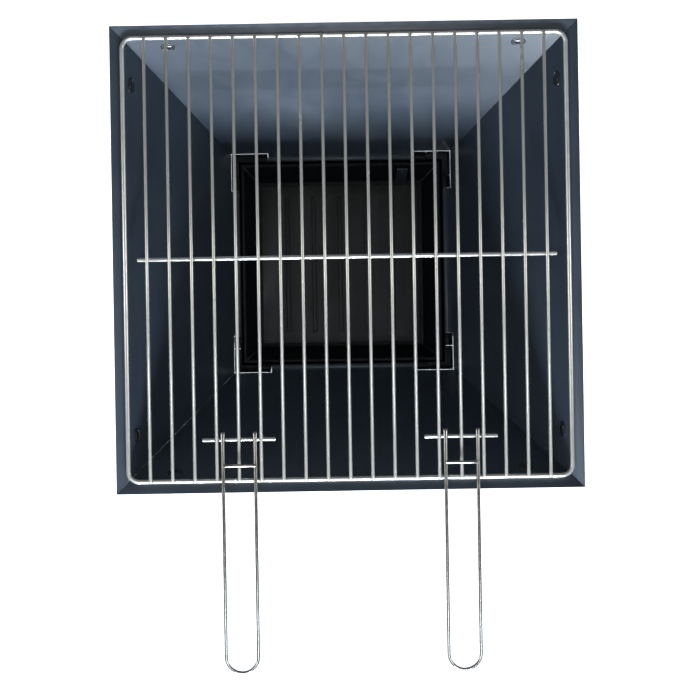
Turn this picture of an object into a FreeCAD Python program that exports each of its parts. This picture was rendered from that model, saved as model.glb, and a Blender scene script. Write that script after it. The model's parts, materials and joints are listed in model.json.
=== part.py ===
"""Folding camp grill: a four-panel funnel firebox on a folding wire stand, with a lift-off wire grate."""
import FreeCAD
import Part
import Sketcher
import math
import os

# Driving dimensions, in millimetres, each a cell of the sheet with its own alias.
DIMENSIONS = [
    ("rim_size", 350),         # outside of the firebox rim, square
    ("rim_lip", 10),           # flared lip round the mouth, which the grate rests on
    ("lip_fall", 3),           # inner edge of the lip below its outer edge
    ("rim_hem", 6),            # turned-down outer edge of the lip
    ("funnel_depth", 120),     # rim height above the panel hinges
    ("sheet", 1.0),            # steel sheet of every panel and box
    ("mitre_gap", 0.2),        # each panel's distance from the corner plane
    ("box_size", 170),         # ash box, outside, square
    ("box_height", 45),
    ("box_ledge", 20),         # ledge under the ash pan
    ("guard_play", 0.35),      # guard under a panel's lower edge to the panel
    ("ear_gap", 0.5),          # corner ears beside the lugs
    ("stand_height", 90),      # ground to the underside of the ash box
    ("pin_radius", 1.5),       # hinge rods of the panels
    ("pin_rise", 3.6),         # hinge rods above the ash box
    ("pin_reach", 1.0),        # hinge rods outside the ash box wall
    ("pin_play", 0.08),        # radial play of a panel's rolled hinge eye
    ("eye_wall", 0.8),         # wall of the rolled hinge eye
    ("lug_width", 10),
    ("lug_corner", 20),        # lug centre to the ash box's corner
    ("lug_plate", 1.5),
    ("lug_drop", 12),          # lug plate below the top of the ash box
    ("lug_eye", 3.0),          # outer radius of the lug's eye
    ("lug_play", 0.5),         # side play between lug and panel eye
    ("eye_strap", 7),          # hinge axis to the panel's full-width edge
    ("rivet_radius", 2.2),
    ("rivet_height", 1.2),
    ("rivet_drop", 7),         # rivet centre below the top of the ash box
    ("pan_play", 1.5),         # lip of the ash pan to the ash box wall
    ("pan_lip", 1.5),
    ("pan_slope", 10),         # how far each pan wall leans out
    ("pan_drop", 2.8),         # pan rim below the top of the ash box
    ("pan_gap", 0.2),          # ash pan above its ledge
    ("liner_margin", 4),       # plate lying in the ash pan, to the pan's outside
    ("liner_ridge", 1.2),
    ("ridge_width", 3),
    ("ridge_margin", 10),      # end of a ridge to the liner's edge
    ("tab_width", 9),          # lifting tab of the ash pan
    ("tab_drop", 6),           # top of the tab below the pan rim
    ("tab_hole", 1.9),
    ("tab_hole_drop", 4.5),    # hole centre below the top of the tab
    ("tab_corner", 19),        # tab centre to the pan's outside, at its floor
    ("leg_wire", 2.5),         # radius of the stand's wire
    ("leg_margin", 20),        # side wire of a leg to the ash box's corner
    ("leg_bend", 12),          # bend radius of the leg's corners
    ("leg_inset", 7),          # leg hinge inside the ash box side
    ("left_hang", 6),          # leg hinges below the ash box
    ("right_hang", 15),
    ("leg_play", 0.08),
    ("clip_length", 8),
    ("clip_half", 4.6),        # half the width of a leg clip
    ("clip_corner", 21),       # clip centre to the leg's side wire
    ("foot_size", 8),          # square section of a rubber foot
    ("foot_length", 14),
    ("foot_corner", 25),       # foot centre to the leg's side wire
    ("frame_wire", 1.75),      # wire radii of the grate
    ("rod_wire", 1.25),
    ("cross_wire", 1.6),
    ("bar_wire", 1.5),
    ("handle_wire", 1.5),
    ("link_wire", 1.25),
    ("frame_inset", 9.2),       # grate frame's centre line inside the rim
    ("frame_bend", 8),
    ("cross_margin", 9),       # end of the cross bar to the frame's centre line
    ("bar_end", 10.8),         # end of a handle bar past its outer rods
    ("bar_inset", 30.5),       # handle bars behind the front of the grate frame
    ("handle_length", 175),    # handle bar to the end of the handle
    ("handle_share", 1.45),    # distance between the handle's wires, in rod pitches
    ("handle_play", 0.3),      # handle wire above its bar
    ("handle_tip", 6),         # end of the handle wire past its bar
    ("eye_wire", 1.3),         # thinner wire of the eye under the bar
    ("eye_play", 0.35),
    ("link_inset", 19),        # cross link to the handle bar
    ("weld_sink", 0.2),        # depth of every spot weld
    ("rest_gap", 0.3),         # grate frame above the rim
    ("tool_margin", 5),        # how far a cutting tool stands past what it cuts
]
ROD_COUNT = 19
HANDLE_PITCHES = 5             # each handle sits this many rods from the middle
SPLAY = 20                     # degrees each leg leans out from the vertical
SPLAY_TAN = math.tan(math.radians(SPLAY))
SPLAY_COS = math.cos(math.radians(SPLAY))
RIDGES = 5                     # pressed ridges across the liner plate
CORNERS = ((1, 1), (-1, 1), (-1, -1), (1, -1))

doc = FreeCAD.newDocument("camp_grill")
sheet = doc.addObject("Spreadsheet::Sheet", "dims")
for row, (alias, value) in enumerate(DIMENSIONS, start=1):
    sheet.set(f"A{row}", alias)
    sheet.set(f"B{row}", str(value))
    sheet.setAlias(f"B{row}", alias)
doc.recompute()

# Places worked out from the driving dimensions, as expressions on the sheet.
HALF_RIM = "(dims.rim_size / 2)"
HALF_BOX = "(dims.box_size / 2)"
BOX_TOP = "(dims.stand_height + dims.box_height)"
PIN_OUT = f"({HALF_BOX} + dims.pin_reach)"
PIN_Z = f"({BOX_TOP} + dims.pin_rise)"
RIM_Z = f"({PIN_Z} + dims.funnel_depth)"
RUN = f"({HALF_RIM} - dims.rim_lip - {PIN_OUT})"
RISE = "(dims.funnel_depth - dims.lip_fall)"
SLANT = f"(sqrt({RUN} * {RUN} + {RISE} * {RISE}))"
COS = f"({RUN} / {SLANT})"
SIN = f"({RISE} / {SLANT})"
FLARE = "(dims.lip_fall / dims.rim_lip)"
FLARE_STRETCH = f"(sqrt(1 + {FLARE} * {FLARE}))"
# Guards on the ash box end just inside the circle that a panel's lower edge swings on.
GUARD_OUT = f"({PIN_OUT} + (dims.eye_strap - dims.guard_play) * {COS})"
GUARD_TOP = f"({PIN_Z} + (dims.eye_strap - dims.guard_play) * {SIN})"
LUG_OFFSET = f"({HALF_BOX} - dims.lug_corner)"
PAN_Z = "(dims.stand_height + dims.sheet + dims.pan_gap)"
PAN_TOP = "(dims.box_size - 2 * (dims.sheet + dims.pan_play + dims.pan_lip))"
PAN_BOTTOM = f"({PAN_TOP} - 2 * dims.pan_slope)"
PAN_DEPTH = f"({BOX_TOP} - dims.pan_drop - {PAN_Z})"
LINER = f"({PAN_BOTTOM} - 2 * dims.liner_margin)"
TAB_SIDE = f"({PAN_BOTTOM} / 2 - dims.tab_corner)"
TAB_HEIGHT = f"({PAN_DEPTH} - dims.tab_drop)"
LEG_SPREAD = "(dims.box_size - 2 * dims.leg_margin)"
HALF_FRAME = f"({HALF_RIM} - dims.frame_inset)"
PITCH = f"(2 * {HALF_FRAME} / {ROD_COUNT + 1})"
HANDLE_WIDTH = f"(dims.handle_share * {PITCH})"
FRAME_Z = f"({RIM_Z} - {FLARE} * dims.frame_inset + (dims.rest_gap + dims.frame_wire) * {FLARE_STRETCH})"
ROD_Z = f"({FRAME_Z} + dims.frame_wire + dims.rod_wire - dims.weld_sink)"
CROSS_Z = f"({ROD_Z} - dims.rod_wire - dims.cross_wire + dims.weld_sink)"
BAR_Z = f"({ROD_Z} - dims.rod_wire - dims.bar_wire + dims.weld_sink)"
BAR_Y = f"({HALF_FRAME} - dims.bar_inset)"
EYE_LINE = "(dims.bar_wire + dims.eye_play + dims.eye_wire)"
LEG_Z = f"({BAR_Z} + dims.bar_wire + dims.handle_play + dims.handle_wire)"
# The origin is under the middle of the grill with its handles, so the firebox stands behind it.
CENTRE_Y = f"(({BAR_Y} + dims.handle_length - {HALF_RIM}) / 2)"

parts = {}


def value(expression):
    """The number that an expression on the sheet gives."""
    return float(sheet.evalExpression(str(expression)))


def bind(item, **sizes):
    """Ties properties of an object to expressions on the sheet."""
    for name, expression in sizes.items():
        item.setExpression(name, str(expression))


def place(item, x="0", y="0", z="0", axis=(0, 0, 1), angle=0, on_firebox=False):
    """Turns an object by a fixed angle and ties its position to the sheet."""
    item.Placement.Rotation = FreeCAD.Rotation(FreeCAD.Vector(*axis), angle)
    item.setExpression("Placement.Base.x", str(x))
    item.setExpression("Placement.Base.y", f"({y}) + {CENTRE_Y}" if on_firebox else str(y))
    item.setExpression("Placement.Base.z", str(z))
    return item


def box(name, size_x, size_y, size_z, x, y, z, on_firebox=False):
    """A box centred on x and y, standing on z."""
    item = doc.addObject("Part::Box", name)
    bind(item, Length=size_x, Width=size_y, Height=size_z)
    return place(item, f"({x}) - ({size_x}) / 2", f"({y}) - ({size_y}) / 2", z, on_firebox=on_firebox)


def rod(name, radius, length, x, y, z, along, on_firebox=False):
    """A round bar centred on x, y, z, along one of the axes X, Y or Z."""
    item = doc.addObject("Part::Cylinder", name)
    bind(item, Radius=radius, Height=length)
    half = f"({length}) / 2"
    if along == "X":
        return place(item, f"({x}) - {half}", y, z, (0, 1, 0), 90, on_firebox)
    if along == "Y":
        return place(item, x, f"({y}) + {half}", z, (1, 0, 0), 90, on_firebox)
    return place(item, x, y, f"({z}) - {half}", on_firebox=on_firebox)


def bend(name, bend_radius, wire_radius, sweep, x, y, z, axis=(0, 0, 1), turn=0, on_firebox=False):
    """A piece of bent round wire: an arc of a torus, lying in XY before it is turned."""
    item = doc.addObject("Part::Torus", name)
    bind(item, Radius1=bend_radius, Radius2=wire_radius)
    item.Angle3 = sweep
    return place(item, x, y, z, axis, turn, on_firebox)


def fuse(name, items):
    item = doc.addObject("Part::MultiFuse", name)
    item.Shapes = items
    return item


def cut(name, base, tool):
    item = doc.addObject("Part::Cut", name)
    item.Base = base
    item.Tool = tool
    return item


def group(name, items):
    """Separate solids that share one node."""
    item = doc.addObject("Part::Compound", name)
    item.Links = items
    return item


def keep(item, label):
    """Registers a finished sub-part under its own name."""
    item.Label = label
    parts[label] = item
    return item


def plane_of(body, role):
    return [f for f in body.Origin.OriginFeatures if f.Role == role][0]


def outline(body, role, name, loops):
    """A sketch of closed straight-sided loops; each corner is a pair of expressions on the sheet."""
    sketch = body.newObject("Sketcher::SketchObject", name)
    sketch.AttachmentSupport = [(plane_of(body, role), "")]
    sketch.MapMode = "FlatFace"
    for corners in loops:
        spots = [FreeCAD.Vector(value(a), value(b), 0) for a, b in corners]
        first = sketch.GeometryCount
        count = len(spots)
        for index, spot in enumerate(spots):
            sketch.addGeometry(Part.LineSegment(spot, spots[(index + 1) % count]), False)
        for index, (across, up) in enumerate(corners):
            line = first + index
            sketch.addConstraint(Sketcher.Constraint("Coincident", line, 2, first + (index + 1) % count, 1))
            for kind, expression, size in (
                ("DistanceX", across, spots[index].x),
                ("DistanceY", up, spots[index].y),
            ):
                number = sketch.addConstraint(Sketcher.Constraint(kind, -1, 1, line, 1, size))
                sketch.setExpression(f"Constraints[{number}]", expression)
    return sketch


def ring_sketch(body, role, name, centre, radii):
    """A sketch of circles about one centre."""
    sketch = body.newObject("Sketcher::SketchObject", name)
    sketch.AttachmentSupport = [(plane_of(body, role), "")]
    sketch.MapMode = "FlatFace"
    middle = FreeCAD.Vector(value(centre[0]), value(centre[1]), 0)
    up = FreeCAD.Vector(0, 0, 1)
    for radius in radii:
        circle = sketch.addGeometry(Part.Circle(middle, up, value(radius)), False)
        number = sketch.addConstraint(Sketcher.Constraint("Radius", circle, value(radius)))
        sketch.setExpression(f"Constraints[{number}]", radius)
        across, up_the_page = centre
        for kind, expression, size in (("DistanceX", across, middle.x), ("DistanceY", up_the_page, middle.y)):
            number = sketch.addConstraint(Sketcher.Constraint(kind, -1, 1, circle, 3, size))
            sketch.setExpression(f"Constraints[{number}]", expression)
    return sketch


def pad(body, name, sketch, length):
    """Pads a sketch equally to both sides."""
    item = body.newObject("PartDesign::Pad", name)
    item.Profile = sketch
    item.Midplane = True
    item.setExpression("Length", str(length))
    return item


def pocket(body, name, sketch):
    """Cuts a sketch through the whole body, to both sides."""
    item = body.newObject("PartDesign::Pocket", name)
    item.Profile = sketch
    item.Type = "ThroughAll"
    item.Midplane = True
    return item


def funnel_panel(side, quarter_turns):
    """One trapezoid side of the funnel, with its lip, hem and rolled hinge eye.

    It is drawn as the front side, about the firebox centre, with its hinge axis at height 0.
    """
    body = doc.addObject("PartDesign::Body", f"panel_{side}")

    def on_slope(distance, depth):
        """A point on the slope, that far up it and that deep in the sheet."""
        out = f"({PIN_OUT} + ({distance}) * {COS} + ({depth}) * {SIN})"
        height = f"(({distance}) * {SIN} - ({depth}) * {COS})"
        return f"-{out}", height

    strap_start = "(dims.pin_radius + dims.pin_play + dims.eye_wall / 2)"
    # Where the undersides of the slope and the lip meet, as a distance up the slope.
    under_lip_z = f"(dims.funnel_depth - dims.sheet * {FLARE_STRETCH} + dims.sheet * {COS})"
    under_lip_run = f"({HALF_RIM} - {PIN_OUT} - dims.sheet * {SIN})"
    under_lip = f"(({under_lip_z} - {FLARE} * {under_lip_run}) / ({SIN} - {FLARE} * {COS}))"
    profile = [
        on_slope("dims.eye_strap", "0"),
        on_slope(SLANT, "0"),
        (f"-{HALF_RIM}", "dims.funnel_depth"),
        (f"-{HALF_RIM}", "dims.funnel_depth - dims.rim_hem"),
        (f"-({HALF_RIM} - dims.sheet)", "dims.funnel_depth - dims.rim_hem"),
        (f"-({HALF_RIM} - dims.sheet)", f"dims.funnel_depth - dims.sheet * ({FLARE} + {FLARE_STRETCH})"),
        on_slope(under_lip, "dims.sheet"),
        on_slope("dims.eye_strap", "dims.sheet"),
    ]
    lines = outline(body, "YZ_Plane", f"profile_{side}", [profile])
    pad(body, f"bent_sheet_{side}", lines, "dims.rim_size + dims.tool_margin")
    doc.recompute()

    # The corners are mitred on the diagonals of the firebox.
    inner = f"({PIN_OUT} / 2)"
    outer = f"({HALF_RIM} + dims.tool_margin)"
    clear = f"({outer} + dims.tool_margin)"
    mitres = [
        [
            (f"{hand} * ({inner} - dims.mitre_gap)", f"-{inner}"),
            (f"{hand} * ({outer} - dims.mitre_gap)", f"-{outer}"),
            (f"{hand} * {clear}", f"-{outer}"),
            (f"{hand} * {clear}", f"-{inner}"),
        ]
        for hand in (-1, 1)
    ]
    pocket(body, f"mitres_{side}", outline(body, "XY_Plane", f"mitre_lines_{side}", mitres))
    doc.recompute()

    # The rolled eye runs between the two lugs of the ash box, on a strap of the same sheet.
    eye_length = f"(2 * {LUG_OFFSET} - dims.lug_width - 2 * dims.lug_play)"
    strap_end = "(dims.eye_strap + dims.sheet)"
    strap = [
        on_slope(strap_start, "0"),
        on_slope(strap_end, "0"),
        on_slope(strap_end, "dims.sheet"),
        on_slope(strap_start, "dims.sheet"),
    ]
    pad(body, f"strap_{side}", outline(body, "YZ_Plane", f"strap_lines_{side}", [strap]), eye_length)
    doc.recompute()
    eye_inside = "(dims.pin_radius + dims.pin_play)"
    radii = [f"{eye_inside} + dims.eye_wall", eye_inside]
    ring = ring_sketch(body, "YZ_Plane", f"eye_lines_{side}", (f"-{PIN_OUT}", "0"), radii)
    pad(body, f"eye_{side}", ring, eye_length)
    doc.recompute()
    place(body, "0", "0", PIN_Z, (0, 0, 1), 90 * quarter_turns, on_firebox=True)
    keep(body, f"panel_{side}")


def turned(item, quarter_turns):
    """Turns a finished piece about the firebox's upright axis."""
    item.Placement.Rotation = FreeCAD.Rotation(FreeCAD.Vector(0, 0, 1), 90 * quarter_turns)
    item.setExpression("Placement.Base.y", CENTRE_Y)
    return item


def panel_hinge(side, quarter_turns):
    """The hinge rod of one panel, its two lugs and their rivets, drawn at the front."""
    rod_length = f"(2 * {LUG_OFFSET} + dims.lug_width)"
    pin = rod(f"pin_{side}", "dims.pin_radius", rod_length, "0", f"-{PIN_OUT}", PIN_Z, "X")
    keep(turned(group(f"hinge_rod_{side}", [pin]), quarter_turns), f"hinge_rod_{side}")

    lugs = []
    rivets = []
    for hand, end in ((-1, "a"), (1, "b")):
        x = f"({hand} * {LUG_OFFSET})"
        tall = f"({PIN_Z} - {BOX_TOP} + dims.lug_drop)"
        plate_y = f"-({HALF_BOX} + dims.lug_plate / 2)"
        tag = f"{side}_{end}"
        foot_z = f"{BOX_TOP} - dims.lug_drop"
        foot = box(f"lug_plate_{tag}", "dims.lug_width", "dims.lug_plate", tall, x, plate_y, foot_z)
        eye = rod(f"lug_eye_{tag}", "dims.lug_eye", "dims.lug_width", x, f"-{PIN_OUT}", PIN_Z, "X")
        bore_length = "dims.lug_width + dims.tool_margin"
        bore = rod(f"lug_bore_{tag}", "dims.pin_radius", bore_length, x, f"-{PIN_OUT}", PIN_Z, "X")
        guard_y = f"-({GUARD_OUT} - dims.sheet / 2)"
        guard_tall = f"({GUARD_TOP} - {PIN_Z})"
        guard = box(f"lug_guard_{tag}", "dims.lug_width", "dims.sheet", guard_tall, x, guard_y, PIN_Z)
        lugs.append(cut(f"lug_{tag}", fuse(f"lug_blank_{tag}", [foot, eye, guard]), bore))
        head_y = f"-({HALF_BOX} + dims.lug_plate + dims.rivet_height / 2)"
        head_z = f"({BOX_TOP} - dims.rivet_drop)"
        rivets.append(rod(f"rivet_{tag}", "dims.rivet_radius", "dims.rivet_height", x, head_y, head_z, "Y"))
    keep(turned(group(f"lugs_{side}", lugs), quarter_turns), f"hinge_lugs_{side}")
    return turned(group(f"rivets_{side}", rivets), quarter_turns)


def ash_box():
    """The square box under the funnel, open above, with a ledge round its open floor."""
    shell = box("box_blank", "dims.box_size", "dims.box_size", "dims.box_height", "0", "0",
                "dims.stand_height", True)
    inside = "(dims.box_size - 2 * dims.sheet)"
    room_z = "dims.stand_height + dims.sheet"
    room = box("box_room", inside, inside, "dims.box_height", "0", "0", room_z, True)
    mouth_size = "(dims.box_size - 2 * dims.box_ledge)"
    mouth_z = "dims.stand_height - dims.tool_margin"
    mouth = box("box_mouth", mouth_size, mouth_size, "dims.box_height", "0", "0", mouth_z, True)
    # Ears close the corners between the lugs, with their outer edges turned up as guards.
    ear_start = f"({LUG_OFFSET} + dims.lug_width / 2 + dims.ear_gap)"
    ear_size = f"({GUARD_OUT} - {ear_start})"
    ear_z = f"({BOX_TOP} - dims.sheet)"
    ears = []
    ear_rooms = []
    for number, (side_x, side_y) in enumerate(CORNERS):
        for items, name, shift, bottom, top in (
            (ears, "ear", "0", ear_z, GUARD_TOP),
            (ear_rooms, "ear_room", "dims.sheet", BOX_TOP, f"{GUARD_TOP} + dims.tool_margin"),
        ):
            centre = f"(({ear_start} + {GUARD_OUT}) / 2 - {shift})"
            x = f"{side_x} * {centre}"
            y = f"{side_y} * {centre}"
            items.append(box(f"{name}_{number}", ear_size, ear_size, f"{top} - {bottom}", x, y, bottom, True))
    blank = fuse("box_with_ears", [shell] + ears)
    keep(cut("ash_box_shell", blank, fuse("box_cavity", [room, mouth] + ear_rooms)), "ash_box")


def tapered(name, bottom, top, height, z):
    """A square block that widens upwards, centred on the firebox."""
    item = doc.addObject("Part::Wedge", name)
    # The wedge's own Y axis is its height, so it is stood up by a quarter turn about X.
    for side in ("X", "Z"):
        bind(item, **{f"{side}min": f"-({bottom}) / 2", f"{side}max": f"({bottom}) / 2"})
        bind(item, **{f"{side}2min": f"-({top}) / 2", f"{side}2max": f"({top}) / 2"})
    bind(item, Ymin="0", Ymax=height)
    return place(item, "0", "0", z, (1, 0, 0), 90, on_firebox=True)


def ash_pan():
    """The removable pan: sloping walls, a narrow lip, a loose liner plate and a lifting tab."""
    outside = tapered("pan_outside", PAN_BOTTOM, PAN_TOP, PAN_DEPTH, PAN_Z)
    lip_size = f"({PAN_TOP} + 2 * dims.pan_lip)"
    lip_z = f"{PAN_Z} + {PAN_DEPTH} - dims.sheet"
    lip = box("pan_lip_plate", lip_size, lip_size, "dims.sheet", "0", "0", lip_z, True)
    taper = f"(2 * dims.pan_slope / {PAN_DEPTH})"
    floor = f"({PAN_Z} + dims.sheet)"
    thinner = f"(2 * dims.sheet - dims.sheet * {taper})"
    bottom = f"({PAN_BOTTOM} - {thinner})"
    top = f"({PAN_TOP} - {thinner})"
    inside = tapered("pan_inside", bottom, top, PAN_DEPTH, floor)
    keep(cut("pan_shell", fuse("pan_blank", [outside, lip]), inside), "ash_pan")

    plate = box("liner_plate", LINER, LINER, "dims.sheet", "0", "0", floor, True)
    ridge_length = f"{LINER} - 2 * dims.ridge_margin"
    ridge_z = f"{floor} + dims.sheet"
    ridges = []
    for number in range(RIDGES):
        ridge_x = f"{number - (RIDGES - 1) / 2} * {LINER} / {RIDGES + 1}"
        name = f"liner_ridge_{number}"
        ridge = box(name, "dims.ridge_width", ridge_length, "dims.liner_ridge", ridge_x, "0", ridge_z, True)
        ridges.append(ridge)
    keep(fuse("liner", [plate] + ridges), "pan_liner")

    # The tab stands on the pan's floor and leans back with the pan's wall.
    body = doc.addObject("PartDesign::Body", "tab_body")
    near = f"({LINER} / 2 + dims.sheet)"
    lean = f"({TAB_HEIGHT} * {taper} / 2)"
    profile = [
        (near, "0"),
        (f"{near} + dims.sheet", "0"),
        (f"{near} + dims.sheet + {lean}", TAB_HEIGHT),
        (f"{near} + {lean}", TAB_HEIGHT),
    ]
    pad(body, "tab_plate", outline(body, "YZ_Plane", "tab_profile", [profile]), "dims.tab_width")
    doc.recompute()
    place(body, TAB_SIDE, "0", floor, on_firebox=True)
    hole_y = f"({near} + {lean})"
    hole_z = f"{floor} + {TAB_HEIGHT} - dims.tab_hole_drop"
    hole_length = "(4 * dims.tool_margin)"
    hole = rod("tab_hole_tool", "dims.tab_hole", hole_length, TAB_SIDE, hole_y, hole_z, "Y", True)
    keep(cut("tab", body, hole), "pan_lift_tab")


def wire_loop(name, width, length, corner, wire):
    """A closed rounded rectangle of round wire, centred in XY."""
    half_x = f"(({width}) / 2)"
    half_y = f"(({length}) / 2)"
    pieces = []
    straight_x = f"({width}) - 2 * {corner}"
    straight_y = f"({length}) - 2 * {corner}"
    for hand, end in ((-1, "low"), (1, "high")):
        pieces.append(rod(f"{name}_x_{end}", wire, straight_x, "0", f"{hand} * {half_y}", "0", "X"))
        pieces.append(rod(f"{name}_y_{end}", wire, straight_y, f"{hand} * {half_x}", "0", "0", "Y"))
    for number, (side_x, side_y) in enumerate(CORNERS):
        bend_x = f"{side_x} * ({half_x} - {corner})"
        bend_y = f"{side_y} * ({half_y} - {corner})"
        arc = bend(f"{name}_corner_{number}", corner, wire, 90, bend_x, bend_y, "0", turn=90 * number)
        pieces.append(arc)
    return fuse(name, pieces)


def stand_leg(side, hand, hang):
    """One wire leg of the stand, its two rubber feet and the clips that it turns in."""
    hinge_x = f"({hand} * ({HALF_BOX} - dims.leg_inset))"
    hinge_z = f"(dims.stand_height - {hang})"
    foot_z = "(dims.foot_size / 2)"
    drop = f"({hinge_z} - {foot_z})"
    slant = f"{drop} / {SPLAY_COS}"
    loop = wire_loop(f"leg_loop_{side}", slant, LEG_SPREAD, "dims.leg_bend", "dims.leg_wire")
    lean = f"({drop} * {SPLAY_TAN})"
    foot_x = f"({hinge_x} + {hand} * {lean})"
    middle_x = f"({hinge_x} + {foot_x}) / 2"
    middle_z = f"({hinge_z} + {foot_z}) / 2"
    place(loop, middle_x, "0", middle_z, (0, 1, 0), hand * (90 - SPLAY), on_firebox=True)
    keep(loop, f"leg_{side}")

    feet = []
    clips = []
    foot_width = "dims.foot_size"
    foot_bore = "dims.foot_length + dims.tool_margin"
    clip_width = "2 * dims.clip_half"
    clip_tall = f"({hang} + dims.clip_half)"
    clip_z = f"dims.stand_height - {clip_tall}"
    clip_radius = "dims.leg_wire + dims.leg_play"
    clip_bore = "dims.clip_length + dims.tool_margin"
    for end_hand, end in ((-1, "a"), (1, "b")):
        tag = f"{side}_{end}"
        y = f"({end_hand} * ({LEG_SPREAD} / 2 - dims.foot_corner))"
        block = box(f"foot_block_{tag}", foot_width, "dims.foot_length", foot_width, foot_x, y, "0", True)
        hole = rod(f"foot_hole_{tag}", "dims.leg_wire", foot_bore, foot_x, y, foot_z, "Y", True)
        feet.append(cut(f"foot_{tag}", block, hole))
        y = f"({end_hand} * ({LEG_SPREAD} / 2 - dims.clip_corner))"
        block = box(f"clip_block_{tag}", clip_width, "dims.clip_length", clip_tall, hinge_x, y, clip_z, True)
        hole = rod(f"clip_hole_{tag}", clip_radius, clip_bore, hinge_x, y, hinge_z, "Y", True)
        clips.append(cut(f"clip_{tag}", block, hole))
    keep(group(f"feet_{side}", feet), f"leg_feet_{side}")
    keep(group(f"clips_{side}", clips), f"leg_clips_{side}")


def grate():
    """The cooking grate: a rounded wire frame, 19 rods on it and a cross bar under them."""
    side = f"2 * {HALF_FRAME}"
    frame = wire_loop("frame_loop", side, side, "dims.frame_bend", "dims.frame_wire")
    place(frame, "0", "0", FRAME_Z, on_firebox=True)
    keep(frame, "grate_frame")
    middle = (ROD_COUNT + 1) // 2
    for number in range(1, ROD_COUNT + 1):
        x = f"({number - middle} * {PITCH})"
        item = rod(f"rod_{number:02d}", "dims.rod_wire", side, x, "0", ROD_Z, "Y", True)
        keep(item, f"grate_rod_{number:02d}")
    cross_length = f"2 * ({HALF_FRAME} - dims.cross_margin)"
    cross = rod("cross", "dims.cross_wire", cross_length, "0", "0", CROSS_Z, "X", True)
    keep(cross, "grate_cross_bar")


def handle(side, hand):
    """A long wire handle that turns on a short bar welded under the grate's rods."""
    x = f"({hand * HANDLE_PITCHES} * {PITCH})"
    bar_length = f"2 * ({PITCH} + dims.bar_end)"
    bar = rod(f"bar_{side}", "dims.bar_wire", bar_length, x, f"-{BAR_Y}", BAR_Z, "X", True)
    keep(bar, f"handle_bar_{side}")

    bow = f"({HANDLE_WIDTH} / 2)"
    straight = f"(dims.handle_length - dims.handle_wire - {bow})"
    leg_length = f"({straight} + dims.handle_tip)"
    leg_y = f"-({BAR_Y} + {straight} - {leg_length} / 2)"
    pieces = []
    for wire_hand, end in ((-1, "a"), (1, "b")):
        tag = f"{side}_{end}"
        wire_x = f"({x} + {wire_hand} * {bow})"
        leg = rod(f"handle_leg_{tag}", "dims.handle_wire", leg_length, wire_x, leg_y, LEG_Z, "Y", True)
        pieces.append(leg)
        eye = (f"handle_eye_{tag}", EYE_LINE, "dims.eye_wire", 360, wire_x, f"-{BAR_Y}", BAR_Z)
        pieces.append(bend(*eye, axis=(0, 1, 0), turn=90, on_firebox=True))
    bow_y = f"-({BAR_Y} + {straight})"
    bow_end = (f"handle_bow_{side}", bow, "dims.handle_wire", 180, x, bow_y, LEG_Z)
    pieces.append(bend(*bow_end, turn=180, on_firebox=True))
    keep(fuse(f"handle_wire_{side}", pieces), f"handle_{side}")
    link_y = f"-({BAR_Y} + dims.link_inset)"
    link_z = f"({LEG_Z} + dims.handle_wire + dims.link_wire - dims.weld_sink)"
    link = rod(f"link_{side}", "dims.link_wire", HANDLE_WIDTH, x, link_y, link_z, "X", True)
    keep(link, f"handle_link_{side}")


def check_and_write():
    """Stops on any failed object or empty shape, then writes one STEP file for each sub-part."""
    doc.recompute()
    for item in doc.Objects:
        if "Invalid" in item.State or "Error" in item.State:
            raise RuntimeError(f"{item.Label} failed: {item.State}")
    os.makedirs("parts", exist_ok=True)
    for label, item in parts.items():
        shape = item.Shape
        if shape.isNull() or not shape.isValid() or shape.Volume <= 0:
            raise RuntimeError(f"{label} has no valid shape")
    for label, item in parts.items():
        item.Shape.exportStep(f"parts/{label}.step")
        print(f"{label}: {len(item.Shape.Solids)} solid(s), {item.Shape.Volume:.0f} mm3")


SIDES = (("front", 0), ("right", 1), ("back", 2), ("left", 3))
ash_box()
ash_pan()
rivet_groups = []
for side, turns in SIDES:
    funnel_panel(side, turns)
    rivet_groups.append(panel_hinge(side, turns))
keep(group("all_rivets", rivet_groups), "lug_rivets")
stand_leg("left", -1, "dims.left_hang")
stand_leg("right", 1, "dims.right_hang")
grate()
handle("left", -1)
handle("right", 1)
check_and_write()
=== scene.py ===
# %% [markdown]
# # A folding camp grill
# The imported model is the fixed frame: every place below is read from it.

# %% Load the frame
import json
import math
import bmesh
import bpy
from mathutils import Matrix, Vector

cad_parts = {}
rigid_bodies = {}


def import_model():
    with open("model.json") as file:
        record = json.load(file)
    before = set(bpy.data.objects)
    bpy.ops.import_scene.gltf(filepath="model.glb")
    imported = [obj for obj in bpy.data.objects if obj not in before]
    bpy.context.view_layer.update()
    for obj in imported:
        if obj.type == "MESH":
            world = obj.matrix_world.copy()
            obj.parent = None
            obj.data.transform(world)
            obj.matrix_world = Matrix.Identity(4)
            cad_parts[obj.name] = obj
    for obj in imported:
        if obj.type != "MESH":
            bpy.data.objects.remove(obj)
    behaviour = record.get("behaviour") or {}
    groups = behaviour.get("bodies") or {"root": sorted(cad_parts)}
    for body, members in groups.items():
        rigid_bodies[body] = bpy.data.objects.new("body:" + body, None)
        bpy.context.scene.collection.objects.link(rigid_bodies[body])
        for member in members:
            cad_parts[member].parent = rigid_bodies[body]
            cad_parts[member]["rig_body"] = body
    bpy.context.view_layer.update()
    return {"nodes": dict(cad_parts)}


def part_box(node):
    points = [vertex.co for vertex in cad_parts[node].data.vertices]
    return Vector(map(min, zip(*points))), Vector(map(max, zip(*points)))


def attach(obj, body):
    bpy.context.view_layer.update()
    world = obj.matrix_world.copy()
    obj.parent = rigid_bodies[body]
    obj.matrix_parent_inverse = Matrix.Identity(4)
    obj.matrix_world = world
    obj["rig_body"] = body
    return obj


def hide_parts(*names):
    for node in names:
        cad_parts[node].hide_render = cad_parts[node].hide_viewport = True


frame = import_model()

nodes = frame["nodes"]
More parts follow.
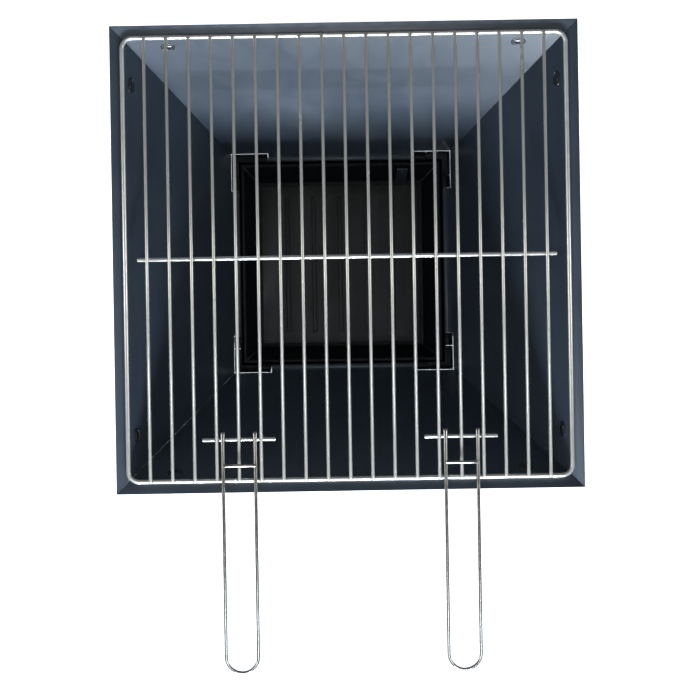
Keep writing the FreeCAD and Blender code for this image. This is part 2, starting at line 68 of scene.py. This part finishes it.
X, Y, Z = Vector((1, 0, 0)), Vector((0, 1, 0)), Vector((0, 0, 1))
SIDES = {"front": 0, "right": 1, "back": 2, "left": 3}     # quarter turns from the front

# %% [markdown]
# ## Measuring the frame
# A wire's middle line is the middle of its node's box. The firebox stands a little behind the
# origin, so its centre is read from the ash box.

# %% Places read from the frame
def middle(node):
    low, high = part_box(node)
    return (low + high) / 2


def thickness(node):
    """The smallest side of a node's box: the diameter of a straight rod."""
    low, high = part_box(node)
    return min(high - low)


firebox = middle("ash_box")
rim_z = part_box("panel_front")[1].z
rim_half = (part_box("panel_right")[1].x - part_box("panel_left")[0].x) / 2
pin_z = middle("hinge_rod_front").z
print("rim half width", round(rim_half, 4), "rim height", round(rim_z, 4))

# %% [markdown]
# ## Helpers for materials
# Each finish is a small node tree on a Principled shader. Colours that vary go through a noise
# on Object coordinates, so the pattern stays with the metal when the part moves.

# %% Material helpers
NOISE_LOW, NOISE_HIGH = 0.3, 0.7       # where most of a noise's values lie


def new_material(name, metallic=0.0, coat=0.0, coat_roughness=0.1, specular=0.5):
    material = bpy.data.materials.new(name)
    material.use_nodes = True
    tree = material.node_tree
    shader = tree.nodes["Principled BSDF"]
    shader.inputs["Metallic"].default_value = metallic
    shader.inputs["Coat Weight"].default_value = coat
    shader.inputs["Coat Roughness"].default_value = coat_roughness
    shader.inputs["Specular IOR Level"].default_value = specular
    return material, tree, shader


def noise(tree, scale, detail, stretch=(1, 1, 1), distortion=0.0):
    """A noise on Object coordinates; scale counts its cells in a metre."""
    place = tree.nodes.new("ShaderNodeTexCoord")
    mapping = tree.nodes.new("ShaderNodeMapping")
    mapping.inputs["Scale"].default_value = stretch
    texture = tree.nodes.new("ShaderNodeTexNoise")
    texture.inputs["Scale"].default_value = scale
    texture.inputs["Detail"].default_value = detail
    texture.inputs["Distortion"].default_value = distortion
    tree.links.new(place.outputs["Object"], mapping.inputs["Vector"])
    tree.links.new(mapping.outputs["Vector"], texture.inputs["Vector"])
    return texture.outputs["Fac"]


def ramp(tree, factor, stops):
    """A colour ramp; each stop is a position and an RGB colour."""
    node = tree.nodes.new("ShaderNodeValToRGB")
    elements = node.color_ramp.elements
    while len(elements) < len(stops):
        elements.new(0.5)
    for element, (position, colour) in zip(elements, stops):
        element.position = position
        element.color = (*colour, 1.0)
    tree.links.new(factor, node.inputs["Fac"])
    return node.outputs["Color"]


def spread(tree, factor, low, high):
    """Turns a factor's middle range into numbers from low to high."""
    node = tree.nodes.new("ShaderNodeMapRange")
    node.inputs["From Min"].default_value = NOISE_LOW
    node.inputs["From Max"].default_value = NOISE_HIGH
    node.inputs["To Min"].default_value = low
    node.inputs["To Max"].default_value = high
    tree.links.new(factor, node.inputs["Value"])
    return node.outputs["Result"]


def bump(tree, shader, height, distance, strength):
    node = tree.nodes.new("ShaderNodeBump")
    node.inputs["Strength"].default_value = strength
    node.inputs["Distance"].default_value = distance
    tree.links.new(height, node.inputs["Height"])
    tree.links.new(node.outputs["Normal"], shader.inputs["Normal"])


print("material helpers: new_material, noise, ramp, spread, bump")

# %% [markdown]
# ## Blue-black enamel
# The firebox is thin steel under a semi-gloss stove enamel. It looks blue where it faces the
# light and nearly black elsewhere. A fine orange peel breaks up the gloss, and faint dust and
# rub marks lighten it here and there.

# %% Enamel
def enamel(name, base, light, dust, rough_low, rough_high, coat=0.35, specular=0.6):
    material, tree, shader = new_material(name, coat=coat, coat_roughness=0.22, specular=specular)
    clouds = noise(tree, 9, 5, distortion=0.6)
    tone = ramp(tree, clouds, [(0.30, base), (0.62, light), (0.85, dust)])
    tree.links.new(tone, shader.inputs["Base Color"])
    smears = noise(tree, 30, 6, stretch=(1, 1, 0.35), distortion=1.2)
    tree.links.new(spread(tree, smears, rough_low, rough_high), shader.inputs["Roughness"])
    peel = noise(tree, 900, 2)
    bump(tree, shader, peel, 0.00004, 0.5)
    return material


black_enamel = enamel("stove_enamel", (0.024, 0.035, 0.050), (0.030, 0.044, 0.063),
                      (0.042, 0.057, 0.076), 0.36, 0.50)
# Painted shade: a much darker, duller copy of the stove enamel for the ash box, pan, lugs and
# clips, which sit down in the box or under the funnel.
painted_shade_box_enamel = enamel("painted_shade_box_enamel", (0.003, 0.004, 0.006), (0.005, 0.0065, 0.009),
                    (0.012, 0.014, 0.017), 0.42, 0.58, coat=0.0, specular=0.22)
# Painted highlight: a light enamel for the pan's corner beads, standing in for the light along its
# corners.
seam_highlight_enamel = enamel("painted_highlight_seam_enamel", (0.05, 0.06, 0.075), (0.10, 0.115, 0.135),
                     (0.20, 0.215, 0.23), 0.20, 0.32)
# Painted shade: a near-black enamel for the corner pips, standing in for the dark hollow of each
# mark.
pip_shade_enamel = enamel("painted_shade_pip_enamel", (0.004, 0.005, 0.008), (0.008, 0.010, 0.014),
                    (0.05, 0.055, 0.06), 0.14, 0.26)
print("enamels:", black_enamel.name, painted_shade_box_enamel.name, seam_highlight_enamel.name, pip_shade_enamel.name)

# %% [markdown]
# ## Metals
# The wires are drawn steel with bright plating, with a drawing pattern in their roughness. The
# bent wires are full metals. The straight rods and the frame mix in some plain colour, which
# keeps them light where there is little to reflect. The liner plate is rolled steel gone
# brown-grey from heat, and the hinge rods and rivets are zinc plated.

# %% Chrome, steel and zinc
def plated(name, tone_low, tone_high, rough_low, rough_high, scale, stretch=(1, 1, 1),
           metallic=1.0):
    material, tree, shader = new_material(name, metallic=metallic)
    grain = noise(tree, scale, 6, stretch, 0.3)
    tone = ramp(tree, grain, [(NOISE_LOW, tone_low), (NOISE_HIGH, tone_high)])
    tree.links.new(tone, shader.inputs["Base Color"])
    fine = noise(tree, scale * 7, 3, stretch)
    tree.links.new(spread(tree, fine, rough_low, rough_high), shader.inputs["Roughness"])
    bump(tree, shader, fine, 0.00002, 0.4)
    return material


rod_chrome = plated("drawn_rod_plating", (0.70, 0.68, 0.62), (0.78, 0.76, 0.71), 0.20, 0.28, 25,
                    (1, 0.15, 1), 0.68)
frame_chrome = plated("frame_plating", (0.72, 0.71, 0.67), (0.82, 0.81, 0.78), 0.16, 0.26, 25,
                      metallic=0.7)
wire_chrome = plated("bent_wire_plating", (0.42, 0.41, 0.39), (0.52, 0.51, 0.49), 0.14, 0.24, 25)
weld_metal = plated("weld_nuggets", (0.42, 0.40, 0.37), (0.66, 0.64, 0.60), 0.30, 0.55, 300)
zinc = plated("zinc_plating", (0.42, 0.43, 0.46), (0.62, 0.63, 0.65), 0.30, 0.48, 90)


def rolled_steel():
    """Brown-grey plate: mill streaks along Y, with heat stains in its roughness."""
    material, tree, shader = new_material("heat_stained_plate", metallic=0.25, specular=0.3)
    streaks = noise(tree, 45, 7, stretch=(1, 0.06, 1), distortion=0.4)
    tone = ramp(tree, streaks, [(0.25, (0.026, 0.025, 0.025)), (0.5, (0.042, 0.040, 0.039)),
                                (0.78, (0.066, 0.063, 0.061))])
    tree.links.new(tone, shader.inputs["Base Color"])
    stains = noise(tree, 22, 6, distortion=0.8)
    tree.links.new(spread(tree, stains, 0.42, 0.62), shader.inputs["Roughness"])
    bump(tree, shader, streaks, 0.00012, 0.5)
    return material


def dull_black(name, colour, worn, rough_low, rough_high, scale, depth):
    material, tree, shader = new_material(name, specular=0.45)
    patches = noise(tree, scale, 6, distortion=0.5)
    tree.links.new(ramp(tree, patches, [(0.35, colour), (0.8, worn)]), shader.inputs["Base Color"])
    tree.links.new(spread(tree, patches, rough_low, rough_high), shader.inputs["Roughness"])
    bump(tree, shader, noise(tree, scale * 9, 3), depth, 0.6)
    return material


heat_plate = rolled_steel()
black_wire = dull_black("black_leg_coating", (0.012, 0.013, 0.015), (0.03, 0.03, 0.033),
                        0.32, 0.5, 70, 0.00004)
foot_rubber = dull_black("foot_rubber", (0.014, 0.014, 0.014), (0.035, 0.034, 0.033),
                         0.7, 0.9, 120, 0.0001)
print("materials:", [m.name for m in bpy.data.materials])

# %% [markdown]
# ## Sheet-metal pieces with soft edges
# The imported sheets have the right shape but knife-sharp edges. Each is copied, its loose
# triangles are merged, the flat faces are joined again, and a narrow bevel rounds the edges
# so that they catch the light as cut and folded sheet does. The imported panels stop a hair
# short of each other at the corners, so their copies are drawn out to meet there. Each copy
# replaces its original.

# %% Softened copies of sheet parts
MITRE_GAP = 0.0003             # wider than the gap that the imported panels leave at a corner
MITRE_LEFT = 0.00001           # kept open, so that the copies don't share a face
DOUBLE = 1e-6                  # vertices nearer than this are one
FLAT_ANGLE = math.radians(1.5)
SHARP_ANGLE = math.radians(28)


def finish(piece, name, material, body):
    """Names a piece, gives it its finish and hangs it on its body."""
    piece.name = name
    piece.data.name = name
    piece.data.materials.clear()
    piece.data.materials.append(material)
    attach(piece, body)
    return piece


def close_mitres(work):
    """Brings a panel's mitred edges up to the corner planes, where real sheets touch."""
    for vert in work.verts:
        across = vert.co.x - firebox.x
        along = vert.co.y - firebox.y
        gap = abs(abs(across) - abs(along))
        if gap < MITRE_GAP:
            reach = max(abs(across), abs(along)) - MITRE_LEFT
            if abs(across) < abs(along):
                vert.co.x = firebox.x + math.copysign(reach, across)
            else:
                vert.co.y = firebox.y + math.copysign(reach, along)


def softened(node, name, material, edge=0.0003, segments=2):
    source = nodes[node]
    mesh = source.data.copy()
    work = bmesh.new()
    work.from_mesh(mesh)
    bmesh.ops.remove_doubles(work, verts=work.verts, dist=DOUBLE)
    bmesh.ops.dissolve_limit(work, angle_limit=FLAT_ANGLE, verts=work.verts, edges=work.edges)
    if node.startswith("panel_"):
        close_mitres(work)
    for face in work.faces:
        face.smooth = True
    work.to_mesh(mesh)
    work.free()
    piece = bpy.data.objects.new(name, mesh)
    bpy.context.scene.collection.objects.link(piece)
    rounding = piece.modifiers.new("edge_rounding", "BEVEL")
    rounding.width = edge
    rounding.segments = segments
    rounding.limit_method = "ANGLE"
    rounding.angle_limit = SHARP_ANGLE
    rounding.harden_normals = True
    finish(piece, name, material, source["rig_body"])
    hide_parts(node)
    print(name, "softened by", edge)


for side in SIDES:
    softened(f"panel_{side}", f"funnel_side_{side}", black_enamel, 0.0001)
    softened(f"hinge_lugs_{side}", f"lug_pair_{side}", painted_shade_box_enamel)
    softened(f"hinge_rod_{side}", f"pivot_rod_{side}", zinc, 0.0004)
# The ash box and pan take the darker enamel: painted shade for their place down in the box.
softened("ash_box", "ash_housing", painted_shade_box_enamel)
softened("ash_pan", "lift_out_pan", painted_shade_box_enamel)
softened("pan_lift_tab", "pan_tab", black_enamel)
softened("pan_liner", "liner_plate", heat_plate, 0.0005)
for side in ("left", "right"):
    softened(f"leg_clips_{side}", f"clip_pair_{side}", painted_shade_box_enamel, 0.0006)
    softened(f"leg_feet_{side}", f"foot_pair_{side}", foot_rubber, 0.0009, 3)

# %% [markdown]
# ## Seams of the pan
# The pan is folded from one sheet, and its four corners are welded and ground. Each seam is a
# thin bead from the floor's corner to the rim's corner, made further below with the wire bender,
# because a straight run of thin wire is just what a weld bead is. The beads' light enamel is a
# painted highlight along the pan's corners.

# %% Seam places
PAN_LIP = 0.0026               # the pan's lip and wall together
PAN_LEAN = 0.0098              # how far the wall leans out over its height
SEAM_DROP = 0.001              # the seam's end to the pan's rim


def pan_corners():
    """The pan's four inside corners: floor and rim points, in matching order."""
    low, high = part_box("ash_pan")
    top_z = high.z - SEAM_DROP
    rise = top_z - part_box("pan_liner")[0].z
    half_top = (high.x - low.x) / 2 - PAN_LIP
    pairs = []
    for hand_x, hand_y in ((1, 1), (-1, 1), (-1, -1), (1, -1)):
        top = Vector((firebox.x + hand_x * half_top, firebox.y + hand_y * half_top, top_z))
        bottom = top - Vector((hand_x * PAN_LEAN, hand_y * PAN_LEAN, rise))
        pairs.append((bottom, top))
    return pairs


print("pan corners:", len(pan_corners()))

# %% [markdown]
# ## Bending wire
# A wire is made as a bending machine makes it: a ring of vertices is fed straight ahead or
# spun about the bend's centre. The mesh follows exactly, with even rings on every bend, and
# a closed loop simply meets its own first ring.

# %% The wire bender
RING = 14                      # vertices round a wire
STEP_ANGLE = 9                 # degrees between the rings of a bend
FULL_TURN = 360


def bent_wire(work, radius, start, heading, moves, closed=False):
    """Feeds a ring from start along heading.

    Each move is ("go", length) or ("turn", centre side, bend radius, degrees), where centre
    side is the direction from the wire to the bend's centre.
    """
    heading = heading.normalized()
    place = start.copy()
    turn_to = Z.rotation_difference(heading).to_matrix().to_4x4()
    ring = bmesh.ops.create_circle(work, segments=RING, radius=radius,
                                   matrix=Matrix.Translation(place) @ turn_to)
    edges = list({edge for vert in ring["verts"] for edge in vert.link_edges})
    ends = [list(edges)]
    for move in moves:
        if move[0] == "go":
            made = bmesh.ops.extrude_edge_only(work, edges=edges)["geom"]
            verts = [g for g in made if isinstance(g, bmesh.types.BMVert)]
            bmesh.ops.translate(work, verts=verts, vec=heading * move[1])
            edges = [g for g in made if isinstance(g, bmesh.types.BMEdge) and
                     all(v in verts for v in g.verts)]
            place = place + heading * move[1]
        else:
            _, side, bend, degrees = move
            side = side.normalized()
            centre = place + side * bend
            axis = heading.cross(side).normalized()
            made = bmesh.ops.spin(work, geom=edges, cent=centre, axis=axis,
                                  angle=math.radians(degrees),
                                  steps=max(2, round(degrees / STEP_ANGLE)),
                                  use_merge=degrees == FULL_TURN,
                                  use_duplicate=False)["geom_last"]
            edges = [g for g in made if isinstance(g, bmesh.types.BMEdge)]
            turned = Matrix.Rotation(math.radians(degrees), 3, axis)
            place = centre + turned @ (place - centre)
            heading = turned @ heading
    if closed:
        bmesh.ops.remove_doubles(work, verts=work.verts, dist=radius * 0.02)
    else:
        ends.append(edges)
        for end in ends:
            cap = bmesh.ops.contextual_create(work, geom=end)["faces"]
            rim = [edge for face in cap for edge in face.edges]
            bmesh.ops.bevel(work, geom=rim, offset=radius * 0.35, segments=2, profile=0.5,
                            affect="EDGES", material=-1)


def wire_piece(name, work, material, body, replaced=()):
    """Turns a finished bmesh into a smooth piece."""
    bmesh.ops.recalc_face_normals(work, faces=work.faces)
    for face in work.faces:
        face.smooth = True
    mesh = bpy.data.meshes.new(name)
    work.to_mesh(mesh)
    work.free()
    piece = bpy.data.objects.new(name, mesh)
    bpy.context.scene.collection.objects.link(piece)
    finish(piece, name, material, body)
    for node in replaced:
        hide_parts(node)
    print(name, len(mesh.polygons), "faces")


print("wire bender ready:", RING, "sides to a wire")

# %% [markdown]
# ## Beads in the pan's corners
# A bead could be a curve with a round bevel. The wire bender gives the same tube as a mesh, with
# its ends closed and rounded, so it is used here as for every other wire.

# %% Pan seams
SEAM = 0.0006                  # the bead's radius


def pan_seams():
    work = bmesh.new()
    for bottom, top in pan_corners():
        run = top - bottom
        bent_wire(work, SEAM, bottom, run, [("go", run.length)])
    wire_piece("pan_corner_seams", work, seam_highlight_enamel, "ash_pan")


pan_seams()

# %% [markdown]
# ## The grate
# Nineteen straight rods lie on a frame of thicker wire with rounded corners. A cross bar and
# the two short handle bars run under the rods.

# %% Rods and bars
def straight_bar(node, name, material):
    """A straight rod along X or Y with softly rounded ends."""
    low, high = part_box(node)
    size = high - low
    along = X if size.x > size.y else Y
    length = size.dot(along)
    work = bmesh.new()
    start = middle(node) - along * length / 2
    bent_wire(work, thickness(node) / 2, start, along, [("go", length)])
    wire_piece(name, work, material, nodes[node]["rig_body"], [node])


rod_nodes = sorted(n for n in nodes if n.startswith("grate_rod_"))
for number, node in enumerate(rod_nodes, start=1):
    straight_bar(node, f"cooking_rod_{number:02d}", rod_chrome)
straight_bar("grate_cross_bar", "cross_bar", frame_chrome)
for side in ("left", "right"):
    straight_bar(f"handle_bar_{side}", f"pivot_bar_{side}", frame_chrome)
    straight_bar(f"handle_link_{side}", f"stop_link_{side}", wire_chrome)

# %% [markdown]
# ## A closed loop of wire
# The grate's border and the two legs are the same kind of thing: one wire bent at four corners
# and joined to itself. One function bends them all, in whatever plane the loop stands.

# %% The frame of the grate
def rounded_loop(name, node, radius, bend, u, v, half_u, half_v, centre, material):
    """A closed rounded rectangle of wire in the plane of u and v."""
    work = bmesh.new()
    run_u = 2 * (half_u - bend)
    run_v = 2 * (half_v - bend)
    start = centre - u * (half_u - bend) - v * half_v
    moves = []
    for side, run in ((v, run_u), (-u, run_v), (-v, run_u), (u, run_v)):
        moves += [("go", run), ("turn", side, bend, 90)]
    bent_wire(work, radius, start, u, moves, closed=True)
    wire_piece(name, work, material, nodes[node]["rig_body"], [node])


FRAME_BEND = 0.008             # the middle line's radius at the border's corners
frame_low, frame_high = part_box("grate_frame")
frame_radius = (frame_high.z - frame_low.z) / 2
frame_half_x = (frame_high.x - frame_low.x) / 2 - frame_radius
frame_half_y = (frame_high.y - frame_low.y) / 2 - frame_radius
rounded_loop("grate_border", "grate_frame", frame_radius, FRAME_BEND, X, Y,
             frame_half_x, frame_half_y, middle("grate_frame"), frame_chrome)

# %% [markdown]
# ## Spot welds
# Where two wires cross they are resistance welded: a small squashed nugget fills the crook.
# There are over a hundred, so each is a sphere of few faces, and all of them are one piece.

# %% Weld nuggets
FRAME_NUGGET = (1.5, 0.9, 0.5)         # half sizes, in radii of the wires
BAR_NUGGET = (1.45, 1.2, 0.45)


def nugget(work, place, size):
    squash = Matrix.Translation(place) @ Matrix.Diagonal((*size, 1))
    bmesh.ops.create_uvsphere(work, u_segments=8, v_segments=5, radius=1, matrix=squash)


def weld_spots():
    work = bmesh.new()
    rod_radius = thickness(rod_nodes[0]) / 2
    seam_z = middle(rod_nodes[0]).z - rod_radius
    along, across, up = FRAME_NUGGET
    on_frame = (rod_radius * along, frame_radius * across, rod_radius * up)
    on_bar = tuple(rod_radius * share for share in BAR_NUGGET)
    bars = [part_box("grate_cross_bar")]
    bars += [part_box(f"handle_bar_{side}") for side in ("left", "right")]
    for node in rod_nodes:
        x = middle(node).x
        for y in (frame_low.y + frame_radius, frame_high.y - frame_radius):
            nugget(work, Vector((x, y, seam_z)), on_frame)
        for low, high in bars:
            if low.x < x < high.x:
                nugget(work, Vector((x, (low.y + high.y) / 2, seam_z)), on_bar)
    wire_piece("grate_welds", work, weld_metal, "grate")


weld_spots()

# %% [markdown]
# ## The handles
# Each handle is one long wire bent into a U, with its two ends pressed flat just past the short
# bar. A thinner wire eye under each end holds it on the bar. The U is bent in one go, and the
# rings of its ends are squashed afterwards, which is what the press does to the wire.

# %% Handles
HANDLE_RADIUS = 0.0015
EYE_WIRE = 0.0013              # the radius of the thinner wire round the bar
TIP_STEPS = 3                  # rings along a tip, for the press to squash
PRESS_START = 0.25             # share of the tip that stays round
PRESS_DEPTH = 0.55             # share of the height that is lost at the very end


def press_tips(work, bar_y, tip, middle_z):
    """Flattens the wire past the bar, more towards its end."""
    for vert in work.verts:
        past = (vert.co.y - bar_y) / tip
        if past > PRESS_START:
            left = 1 - PRESS_DEPTH * min(past, 1)
            vert.co.z = middle_z + (vert.co.z - middle_z) * left


def handle(side):
    low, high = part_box(f"handle_{side}")
    bar = middle(f"handle_bar_{side}")
    bow = (high.x - low.x) / 2 - HANDLE_RADIUS
    tip = high.y - bar.y
    run = bar.y - (low.y + HANDLE_RADIUS + bow)
    leg_z = high.z - HANDLE_RADIUS
    work = bmesh.new()
    tip_moves = [("go", tip / TIP_STEPS)] * TIP_STEPS
    bow_moves = [("go", run), ("turn", X, bow, 180), ("go", run)]
    start = Vector((bar.x - bow, high.y, leg_z))
    bent_wire(work, HANDLE_RADIUS, start, -Y, tip_moves + bow_moves + tip_moves)
    press_tips(work, bar.y, tip, leg_z)
    eye = bar.z - low.z - EYE_WIRE
    for hand in (-1, 1):
        top = Vector((bar.x + hand * bow, bar.y, bar.z + eye))
        bent_wire(work, EYE_WIRE, top, Y, [("turn", -Z, eye, FULL_TURN)], closed=True)
    wire_piece(f"handle_bow_{side}", work, wire_chrome, f"handle_{side}",
               [f"handle_{side}"])


for side in ("left", "right"):
    handle(side)

# %% [markdown]
# ## The stand
# Two closed wire loops lean outwards under the ash box. Their plane is found from the leg's
# hinge side and its foot side, both read from the frame.

# %% Stand legs
LEG_RADIUS = 0.0025
LEG_BEND = 0.012               # the middle line's radius at a leg's corners


def stand_leg(side, hand):
    low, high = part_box(f"leg_{side}")
    outer_x = (low.x if hand < 0 else high.x) - hand * LEG_RADIUS
    inner_x = (high.x if hand < 0 else low.x) + hand * LEG_RADIUS
    foot = Vector((outer_x, firebox.y, low.z + LEG_RADIUS))
    hinge = Vector((inner_x, firebox.y, high.z - LEG_RADIUS))
    down = foot - hinge
    half_y = (high.y - low.y) / 2 - LEG_RADIUS
    rounded_loop(f"leg_loop_{side}", f"leg_{side}", LEG_RADIUS, LEG_BEND, Y, down.normalized(),
                 half_y, down.length / 2, (foot + hinge) / 2, black_wire)


for side, hand in (("left", -1), ("right", 1)):
    stand_leg(side, hand)

# %% [markdown]
# ## Domed rivets
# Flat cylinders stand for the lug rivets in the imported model. A real head is a shallow dome,
# so each head is a sphere cut off at the plate and flattened.

# %% Rivets
DOME_RISE = 0.0012             # how far a head stands off its lug
RIVET_INSET = 0.005            # rivet to the outer side of its lug


def quarter_turn(turns):
    """Turns a piece made for the front side to one of the other sides."""
    to_box = Matrix.Translation((firebox.x, firebox.y, 0))
    return to_box @ Matrix.Rotation(math.radians(90 * turns), 4, Z)


def dome(work, radius):
    """The -Y half of a sphere, closed at Y = 0; gives its vertices."""
    ball = bmesh.ops.create_uvsphere(work, u_segments=20, v_segments=12, radius=radius)["verts"]
    geom = list({g for v in ball for g in (v, *v.link_edges, *v.link_faces)})
    half = bmesh.ops.bisect_plane(work, geom=geom, plane_co=(0, 0, 0), plane_no=(0, 1, 0),
                                  clear_outer=True)
    rim = [g for g in half["geom_cut"] if isinstance(g, bmesh.types.BMEdge)]
    bmesh.ops.contextual_create(work, geom=rim)
    parts = [g.verts if hasattr(g, "verts") else [g] for g in half["geom"]]
    return list({v for verts in parts for v in verts if v.is_valid})


def lug_rivets():
    work = bmesh.new()
    low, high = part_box("lug_rivets")
    radius = (high.z - low.z) / 2
    plate = (high.x - low.x) / 2 - DOME_RISE
    lug_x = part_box("hinge_lugs_front")[1].x - RIVET_INSET
    flatten = Matrix.Diagonal((1, DOME_RISE / radius, 1, 1))
    for turns in SIDES.values():
        for x in (-lug_x, lug_x):
            seat = Matrix.Translation((x, -plate, (low.z + high.z) / 2))
            bmesh.ops.transform(work, matrix=quarter_turn(turns) @ seat @ flatten,
                                verts=dome(work, radius))
    wire_piece("rivet_domes", work, zinc, "base", ["lug_rivets"])


lug_rivets()

# %% [markdown]
# ## Corner pips
# Near each top corner a panel has an oblong mark, taken here as a pressing: a raised rim with a
# domed middle. The rim is a closed loop of thin wire, half sunk in the sheet, and the dome is a
# squashed sphere, both turned to the panel's slope. Both are near black: painted shade for the
# mark's dark hollow.

# %% Corner pips
PIP_INSET = 0.043              # pip to the panel's corner, along the rim
PIP_DROP = 0.0148              # pip to the rim's outer edge, seen from above
PIP_HALF = 0.0050              # half the pip's length
PIP_WIDTH = 0.0032             # half its width, and the radius of its ends
PIP_RIM = 0.0005               # the radius of its raised rim
PIP_DOME = (0.8, 0.7, 1.4)     # the dome's half sizes, as shares of those three
LIP = 0.010                    # the width of a panel's lip
LIP_FALL = 0.003               # how far the lip slopes down to the panel
pin_out = firebox.y - middle("hinge_rod_front").y
slope_run = rim_half - LIP - pin_out
slope_rise = rim_z - LIP_FALL - pin_z
slope = Vector((0, -slope_run, slope_rise)).normalized()
slope_normal = X.cross(slope)


def corner_pips(side, turns):
    work = bmesh.new()
    out = rim_half - PIP_DROP
    height = pin_z + (out - pin_out) * slope_rise / slope_run
    straight = 2 * (PIP_HALF - PIP_WIDTH)
    tilt = Matrix((X, slope, slope_normal)).transposed().to_4x4()
    halves = (PIP_HALF, PIP_WIDTH, PIP_RIM)
    squash = Matrix.Diagonal((*(half * share for half, share in zip(halves, PIP_DOME)), 1))
    for hand in (-1, 1):
        centre = Vector((hand * (rim_half - PIP_INSET), -out, height))
        start = centre - X * straight / 2 - slope * PIP_WIDTH
        moves = [("go", straight), ("turn", slope, PIP_WIDTH, 180),
                 ("go", straight), ("turn", -slope, PIP_WIDTH, 180)]
        bent_wire(work, PIP_RIM, start, X, moves, closed=True)
        bmesh.ops.create_uvsphere(work, u_segments=16, v_segments=10, radius=1,
                                  matrix=Matrix.Translation(centre) @ tilt @ squash)
    bmesh.ops.transform(work, matrix=quarter_turn(turns), verts=work.verts)
    wire_piece(f"corner_pips_{side}", work, pip_shade_enamel, f"panel_{side}")


for side, turns in SIDES.items():
    corner_pips(side, turns)

# %% [markdown]
# ## Floor and light
# The stage is a pale floor that glows like a light table, so the wires stand against white. It
# doesn't glow under the firebox: light from below would shine through the narrow gaps between
# the lower corners of the panels. A long low softbox in front skims over the front rim and
# lights the far panel, a high one lights the wires, and two narrow ones stand at the sides.

# %% Stage
GLOW_START = 0.140             # from the firebox's middle to where the glow begins
GLOW_FULL = 0.195              # and to where it reaches its full strength
GLOW = 0.85
FLOOR_HALF = 30


def stage_floor():
    work = bmesh.new()
    bmesh.ops.create_grid(work, x_segments=2, y_segments=2, size=FLOOR_HALF)
    mesh = bpy.data.meshes.new("studio_floor")
    work.to_mesh(mesh)
    work.free()
    floor = bpy.data.objects.new("studio_floor", mesh)
    bpy.context.scene.collection.objects.link(floor)
    material, tree, shader = new_material("pale_floor", specular=0.2)
    paper = noise(tree, 3, 3)
    tone = ramp(tree, paper, [(NOISE_LOW, (0.86,) * 3), (NOISE_HIGH, (0.90,) * 3)])
    tree.links.new(tone, shader.inputs["Base Color"])
    shader.inputs["Roughness"].default_value = 0.9
    shader.inputs["Emission Color"].default_value = (1, 1, 1, 1)
    # The glow follows the distance on the floor from the firebox's middle.
    place = tree.nodes.new("ShaderNodeTexCoord")
    ring = tree.nodes.new("ShaderNodeVectorMath")
    ring.operation = "DISTANCE"
    ring.inputs[1].default_value = (firebox.x, firebox.y, 0)
    glow = tree.nodes.new("ShaderNodeMapRange")
    glow.inputs["From Min"].default_value = GLOW_START
    glow.inputs["From Max"].default_value = GLOW_FULL
    glow.inputs["To Min"].default_value = 0.0
    glow.inputs["To Max"].default_value = GLOW
    tree.links.new(place.outputs["Object"], ring.inputs[0])
    tree.links.new(ring.outputs["Value"], glow.inputs["Value"])
    tree.links.new(glow.outputs["Result"], shader.inputs["Emission Strength"])
    mesh.materials.append(material)


def softbox(name, place, target, size, size_y, power, colour=(1, 1, 1)):
    data = bpy.data.lights.new(name, "AREA")
    data.shape = "RECTANGLE"
    data.size = size
    data.size_y = size_y
    data.energy = power
    data.color = colour
    lamp = bpy.data.objects.new(name, data)
    lamp.location = place
    lamp.rotation_euler = (Vector(target) - Vector(place)).to_track_quat("-Z", "Y").to_euler()
    bpy.context.scene.collection.objects.link(lamp)


stage_floor()
softbox("front_softbox", (0.0, -2.6, 1.045), (0.0, 0.2, 0.22), 1.8, 0.40, 225,
        (0.84, 0.92, 1.0))
softbox("right_softbox", (2.3, 0.1, 1.65), (0, 0.07, 0.2), 0.35, 2.4, 8)
softbox("left_softbox", (-2.3, 0.1, 1.65), (0, 0.07, 0.2), 0.35, 2.4, 8)
softbox("front_high_softbox", (0.0, -0.68, 2.45), (0, 0.24, 0.25), 1.3, 0.35, 9,
        (0.82, 0.91, 1.0))

world = bpy.data.worlds.new("studio")
world.use_nodes = True
sky = world.node_tree.nodes["Background"]
sky.inputs["Color"].default_value = (0.93, 0.95, 1.0, 1)
sky.inputs["Strength"].default_value = 0.13
bpy.context.scene.world = world
bpy.context.scene.view_settings.view_transform = "Standard"
print("lights:", [lamp.name for lamp in bpy.data.lights])

# %% [markdown]
# ## Camera
# The camera looks straight down from a little over a metre above the rim. It stands to one side
# of the middle, and the lens is shifted back by as much, so the grill stays in the frame.

# %% Camera
CAMERA_HEIGHT = 1.13           # above the rim
VIEW_WIDTH = 0.5195            # what the camera takes in at the rim
SENSOR = 36.0
CAMERA_ASIDE = -0.039          # from the middle of the grill and its handles
CAMERA_AHEAD = 0.0423          # from the firebox's middle towards the cook
CAMERA_ROLL = math.radians(-0.95)
camera_data = bpy.data.cameras.new("camera")
camera_data.sensor_width = SENSOR
camera_data.lens = SENSOR * CAMERA_HEIGHT / VIEW_WIDTH
camera_spot = Vector((CAMERA_ASIDE, firebox.y - CAMERA_AHEAD, rim_z + CAMERA_HEIGHT))
camera_data.shift_x = -camera_spot.x / VIEW_WIDTH
camera_data.shift_y = -camera_spot.y / VIEW_WIDTH
camera = bpy.data.objects.new("camera", camera_data)
camera.location = camera_spot
camera.rotation_euler = (0, 0, CAMERA_ROLL)
bpy.context.scene.collection.objects.link(camera)
bpy.context.scene.camera = camera
print("camera at", tuple(round(number, 3) for number in camera_spot))
